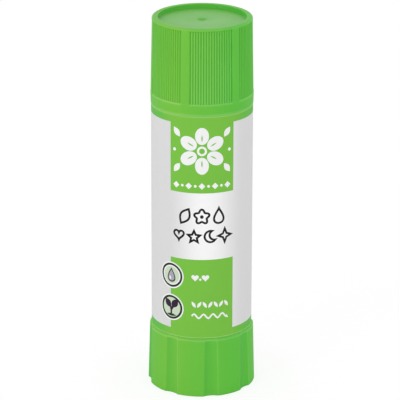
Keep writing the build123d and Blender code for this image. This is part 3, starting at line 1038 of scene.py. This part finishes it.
def print_badges():
    """Two round badges on the lower block's edge."""
    for z, ground in ((DROP_BADGE, WHITE), (SPROUT_BADGE, PALE)):
        lay(placed(oval(3.5, 3.5, 48), BADGE_U, z), WHITE)
        ring_mark(BADGE_U, z, 3.16, 0.55, DARK, ground)
    print_drop(BADGE_U, DROP_BADGE)
    print_sprout(BADGE_U, SPROUT_BADGE)


def print_small_stick(u, z, rise):
    """A plain glue stick in a green ring, with its glue risen by so much."""
    ring_mark(u, z, 4.9, THIN_WIDTH, LEAF, FILM)
    box(u - 1.45, z - 2.2, u + 1.45, z + 0.45, LEAF)
    box(u - 1.7, z - 3.3, u + 1.7, z - 2.42, LEAF)
    box(u - 1.15, z + 0.45, u + 1.15, z + 0.45 + rise, GREY)


def print_small_cap(u, z, lift, up):
    """The small stick's cap, lifted off it, and an arrow that points up for 1 or down for -1."""
    box(u - 1.6, z + 0.55 + lift, u + 1.6, z + 2.25 + lift, LEAF)
    tip = z + 0.2 + 1.9 * up
    ribbon([(u + 3.0, z + 0.2 - 1.5 * up), (u + 3.0, tip - 0.8 * up)], THIN_WIDTH, LEAF)
    lay([(u + 2.4, tip - 1.0 * up), (u + 3.6, tip - 1.0 * up), (u + 3.0, tip)], LEAF)


def print_turning_arrow(u, z):
    """An arrow bent round the small stick's knob."""
    turns = [math.radians(a) for a in range(195, 331, 9)]
    ribbon([(u + 2.85 * math.cos(t), z - 2.45 + 1.5 * math.sin(t)) for t in turns], THIN_WIDTH, LEAF)
    lay([(u + 1.95, z - 3.05), (u + 2.95, z - 3.75), (u + 3.15, z - 2.3)], LEAF)


def print_back():
    """Pictures of use: the cap off, the knob turned and the cap on. A stitched line faces them."""
    cap_off, knob_turned, cap_on = PICTURES
    print_small_stick(PICTURE_U, cap_off, 0.75)
    print_small_cap(PICTURE_U, cap_off, 1.5, 1)
    print_small_stick(PICTURE_U, knob_turned, 2.3)
    print_turning_arrow(PICTURE_U, knob_turned)
    print_small_stick(PICTURE_U, cap_on, 0)
    print_small_cap(PICTURE_U, cap_on, 0.12, -1)
    for i in range(STITCHES):
        z = FIRST_STITCH + STITCH_PITCH * i
        box(-PICTURE_U - 0.22, z, -PICTURE_U + 0.22, z + STITCH_LENGTH, LEAF)


# Label


def contains(outline, u, z):
    hit = False
    for (u0, z0), (u1, z1) in zip(outline, outline[1:] + outline[:1]):
        if (z0 > z) != (z1 > z) and u < (u1 - u0) * (z - z0) / (z1 - z0) + u0:
            hit = not hit
    return hit


def ink_at(u, z):
    """The number of the ink that was laid last at a place."""
    for outline, (left, right, low, high), ink_number in reversed(prints):
        if left <= u <= right and low <= z <= high and contains(outline, u, z):
            return ink_number
    return FILM


def film_radius(u):
    """The film's outer radius. One end lies over the other at the back."""
    off = u - HALF_TURN if u > 0 else u + HALF_TURN
    if off > LAP_HALF or off < -LAP_HALF - LAP_STEP:
        return FILM_R
    if off < LAP_STEP - LAP_HALF:
        share = (off + LAP_HALF + LAP_STEP) / (2 * LAP_STEP)
        return lerp(FILM_R, LAP_R, share * share * (3 - 2 * share))
    return LAP_R


def film_lines():
    """Places of the film's upright lines: even ones all round, and closer ones at the steps of its lap."""
    steps = 120
    lines = [HALF_TURN * (2 * i / steps - 1) for i in range(steps + 1)]
    lines += [HALF_TURN - LAP_HALF - LAP_STEP + LAP_STEP / 4 * i for i in range(9)]
    lines += [LAP_HALF - HALF_TURN - 0.0001, LAP_HALF - HALF_TURN + 0.04]
    return sorted(set(round(u, 5) for u in lines))


def film_triangles():
    """The unrolled film's points and triangles, cut along its upright lines and its print."""
    lines = film_lines()
    points, edges = [], []
    for u in lines:
        n = len(points)
        points += [Vector((u, FILM_LOW)), Vector((u, FILM_HIGH))]
        edges.append((n, n + 1))
        if n:
            edges += [(n - 2, n), (n - 1, n + 1)]
    for outline, _, _ in prints:
        n, count = len(points), len(outline)
        for u, z in outline:
            points.append(Vector((clamp(u, lines[0], lines[-1]), clamp(z, FILM_LOW, FILM_HIGH))))
        edges += [(n + i, n + (i + 1) % count) for i in range(count)]
    flat, _, triangles = delaunay_2d_cdt(points, edges, [], 0, 1e-5)[:3]
    return flat, triangles


def film_edge(flat, level):
    """The numbers of the points along one of the film's cut edges, in order."""
    on_edge = [i for i, p in enumerate(flat) if abs(p.y - level) < 1e-4]
    return sorted(on_edge, key=lambda i: flat[i].x)


def close_film(flat, vertices, faces, paints):
    """Adds the film's inner face and its two cut edges."""
    low, high = film_edge(flat, FILM_LOW), film_edge(flat, FILM_HIGH)
    if len(low) != len(high):
        raise ValueError("the film's edges don't match")
    start = len(vertices)
    for i in low:
        angle = math.degrees(flat[i].x / FILM_R)
        vertices += [point(BARREL_R, angle, FILM_LOW), point(BARREL_R, angle, FILM_HIGH)]
    for i in range(len(low) - 1):
        a, b = start + 2 * i, start + 2 * i + 2
        faces += [(a, b, b + 1, a + 1), (low[i], low[i + 1], b, a), (high[i + 1], high[i], a + 1, b + 1)]
        paints += [EDGE, LEAF, LEAF]


def set_film_normals(mesh):
    """Round normals on the film's two faces, and flat ones on its cut edges and the end of its lap."""
    normals = []
    for face in mesh.polygons:
        upright = abs(face.normal.z) < 0.5
        inwards = face.normal.x * face.center.x + face.normal.y * face.center.y < 0
        for i in face.vertices:
            co = mesh.vertices[i].co
            outwards = Vector((co.x, co.y, 0)).normalized() * (-1 if inwards else 1)
            curved = upright and abs(outwards.dot(face.normal)) >= 0.97
            normals.append(outwards if curved else face.normal.copy())
    mesh.normals_split_custom_set(normals)


def make_label():
    print_grounds()
    print_flower(FLOWER)
    print_diamonds(DIAMONDS)
    print_outlined_shapes()
    print_small_motifs()
    print_badges()
    print_back()
    flat, triangles = film_triangles()
    vertices = [point(film_radius(p.x), math.degrees(p.x / FILM_R), p.y) for p in flat]
    faces, paints = [], []
    for corners in triangles:
        faces.append(tuple(corners))
        paints.append(ink_at(sum(flat[i].x for i in corners) / 3, sum(flat[i].y for i in corners) / 3))
    close_film(flat, vertices, faces, paints)
    mesh = new_mesh("label_film_print", vertices, faces, label_inks, paints, merge=2e-9)
    set_film_normals(mesh)
    add_piece(mesh, "barrel", "label")


make_label()

# Floor, light and camera, in metres

HORIZON, ZENITH = 1.38, 0.49
FLOOR_REACH, FLOOR_DROP = 3, 0.00003
FLOOR_GREY, SEEN_GREY, SEEN_GLOW = 0.88, 0.25, 0.8
SOFTBOX_PLACE, SOFTBOX_SIZE, SOFTBOX_POWER = (-0.75, -0.85, 0.5), 0.5, 1.5
CAMERA_PLACE, CAMERA_DOWN, CAMERA_ROLL, CAMERA_LENS = (-0.00046, -0.65604, 0.27944), 19.433, 0.13, 248.87


def seen_first(tree, plain, seen, output):
    """Joins two shaders: the second is what the camera itself sees."""
    path, choose = add_node(tree, "LightPath"), add_node(tree, "MixShader")
    tree.links.new(path.outputs["Is Camera Ray"], choose.inputs["Fac"])
    tree.links.new(plain.outputs[0], choose.inputs[1])
    tree.links.new(seen.outputs[0], choose.inputs[2])
    tree.links.new(choose.outputs[0], output.inputs["Surface"])


def make_world():
    """Soft light from all round, stronger from the horizon, and a white background."""
    world = bpy.data.worlds.new("studio")
    bpy.context.scene.world = world
    world.use_nodes = True
    tree = world.node_tree
    tree.nodes.clear()
    place, split = add_node(tree, "TexCoord"), add_node(tree, "SeparateXYZ")
    ramp = add_node(tree, "ValToRGB")
    tree.links.new(place.outputs["Generated"], split.inputs[0])
    tree.links.new(split.outputs["Z"], ramp.inputs["Fac"])
    ramp.color_ramp.elements[0].color = (*grey(HORIZON), 1)
    ramp.color_ramp.elements[1].color = (*grey(ZENITH), 1)
    soft, white = add_node(tree, "Background"), add_node(tree, "Background")
    tree.links.new(ramp.outputs["Color"], soft.inputs["Color"])
    white.inputs["Color"].default_value = (*grey(1), 1)
    seen_first(tree, soft, white, add_node(tree, "OutputWorld"))


def floor_material():
    """Pale and matte to the light. The camera sees a near-white glow that still takes a faint shadow."""
    paint = bpy.data.materials.new("floor_paint")
    paint.use_nodes = True
    tree = paint.node_tree
    tree.nodes.clear()
    matte, lit = add_node(tree, "BsdfDiffuse"), add_node(tree, "BsdfDiffuse")
    glow, both = add_node(tree, "Emission"), add_node(tree, "AddShader")
    matte.inputs["Color"].default_value = (*grey(FLOOR_GREY), 1)
    lit.inputs["Color"].default_value = (*grey(SEEN_GREY), 1)
    glow.inputs["Strength"].default_value = SEEN_GLOW
    tree.links.new(lit.outputs[0], both.inputs[0])
    tree.links.new(glow.outputs[0], both.inputs[1])
    seen_first(tree, matte, both, add_node(tree, "OutputMaterial"))
    return paint


def make_floor():
    mesh = bpy.data.meshes.new("floor")
    far = FLOOR_REACH
    corners = [(x, y, -FLOOR_DROP) for x, y in ((-far, -far), (far, -far), (far, far), (-far, far))]
    mesh.from_pydata(corners, [], [(0, 1, 2, 3)])
    mesh.materials.append(floor_material())
    floor = new_object("floor", mesh)


def make_softbox():
    """A large soft lamp at the front left, aimed at the stick's middle."""
    light = bpy.data.lights.new("side_softbox", "AREA")
    light.shape = "RECTANGLE"
    light.size = light.size_y = SOFTBOX_SIZE
    light.energy = SOFTBOX_POWER
    lamp = new_object("side_softbox", light)
    lamp.location = SOFTBOX_PLACE
    middle = Vector((0, 0, STICK_TOP / 2 * MM))
    lamp.rotation_euler = (middle - Vector(SOFTBOX_PLACE)).to_track_quat("-Z", "Y").to_euler()


def make_camera():
    lens = bpy.data.cameras.new("camera")
    lens.lens = CAMERA_LENS
    lens.sensor_width = 36
    lens.clip_start, lens.clip_end = 0.01, 20
    camera = new_object("camera", lens)
    camera.matrix_world = (
        Matrix.Translation(CAMERA_PLACE)
        @ Matrix.Rotation(math.radians(90 - CAMERA_DOWN), 4, "X")
        @ Matrix.Rotation(math.radians(CAMERA_ROLL), 4, "Z")
    )
    bpy.context.scene.camera = camera


make_world()
make_floor()
make_softbox()
make_camera()
bpy.context.scene.view_settings.view_transform = "Standard"
